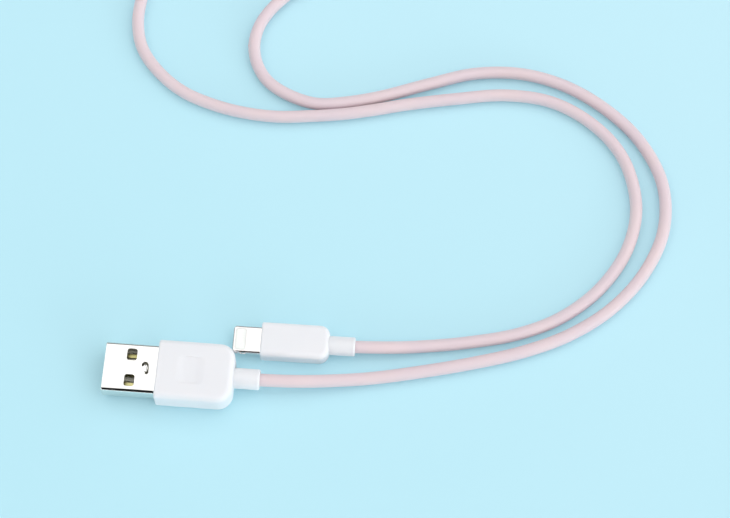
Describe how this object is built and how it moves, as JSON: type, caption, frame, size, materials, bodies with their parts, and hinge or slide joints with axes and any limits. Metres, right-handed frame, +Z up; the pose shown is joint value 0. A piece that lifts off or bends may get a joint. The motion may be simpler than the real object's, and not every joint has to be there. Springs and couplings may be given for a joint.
{
  "type": "charging cable",
  "caption": "Charging cable with a USB-A plug and a flat eight-contact phone plug on a soft round cord, its spare length in a strapped coil.",
  "frame": {"origin": "on the resting surface, under the centre of the box around the two plugs, without the cord and its coil", "axes": "+X along the USB plug from its open end to its cord, +Y across the plugs from the USB plug to the phone plug, +Z up from the resting surface"},
  "size_m": [0.1355, 0.1555, 0.0078],
  "materials": {
    "boot_white": "smooth satin moulding, softly rounded edges",
    "cord_pink": "smooth soft jacket, satin",
    "shell_steel": "bright stamped steel",
    "tab_steel": "bright satin steel",
    "contact_gold": "gold plated",
    "contact_silver": "pale plated contact pads, almost the colour of the carrier",
    "insulator": "off-white moulded insulator",
    "circuit_board": "green solder mask",
    "chip_black": "black moulded chip",
    "strap_white": "hook-and-loop strap",
    "wire_red": "insulation",
    "wire_white": "insulation",
    "wire_green": "insulation",
    "wire_black": "insulation"
  },
  "bodies": {
    "root": {"usb_shell": "shell_steel", "usb_tongue": "insulator", "usb_contact_1": "contact_gold", "usb_contact_2": "contact_gold", "usb_contact_3": "contact_gold", "usb_contact_4": "contact_gold", "usb_inner_cover": "insulator", "usb_cable_crimp": "shell_steel", "usb_wire_red": "wire_red", "usb_wire_white": "wire_white", "usb_wire_green": "wire_green", "usb_wire_black": "wire_black", "usb_boot": "boot_white", "usb_strain_relief": "boot_white", "phone_tab_frame": "tab_steel", "phone_contact_carrier": "insulator", "phone_contact_top_1": "contact_silver", "phone_contact_top_2": "contact_silver", "phone_contact_top_3": "contact_silver", "phone_contact_top_4": "contact_silver", "phone_contact_top_5": "contact_silver", "phone_contact_top_6": "contact_silver", "phone_contact_top_7": "contact_silver", "phone_contact_top_8": "contact_silver", "phone_contact_bottom_1": "contact_silver", "phone_contact_bottom_2": "contact_silver", "phone_contact_bottom_3": "contact_silver", "phone_contact_bottom_4": "contact_silver", "phone_contact_bottom_5": "contact_silver", "phone_contact_bottom_6": "contact_silver", "phone_contact_bottom_7": "contact_silver", "phone_contact_bottom_8": "contact_silver", "phone_circuit_board": "circuit_board", "phone_main_chip": "chip_black", "phone_power_chip": "chip_black", "phone_capacitor": "chip_black", "phone_diode": "chip_black", "phone_shield_top": "shell_steel", "phone_shield_bottom": "shell_steel", "phone_cable_crimp": "shell_steel", "phone_wire_red": "wire_red", "phone_wire_white": "wire_white", "phone_wire_green": "wire_green", "phone_wire_black": "wire_black", "phone_boot": "boot_white", "phone_strain_relief": "boot_white", "cord_usb_side": "cord_pink", "cord_coil": "cord_pink", "cord_phone_side": "cord_pink", "coil_strap": "strap_white"}
  },
  "joints": []
}
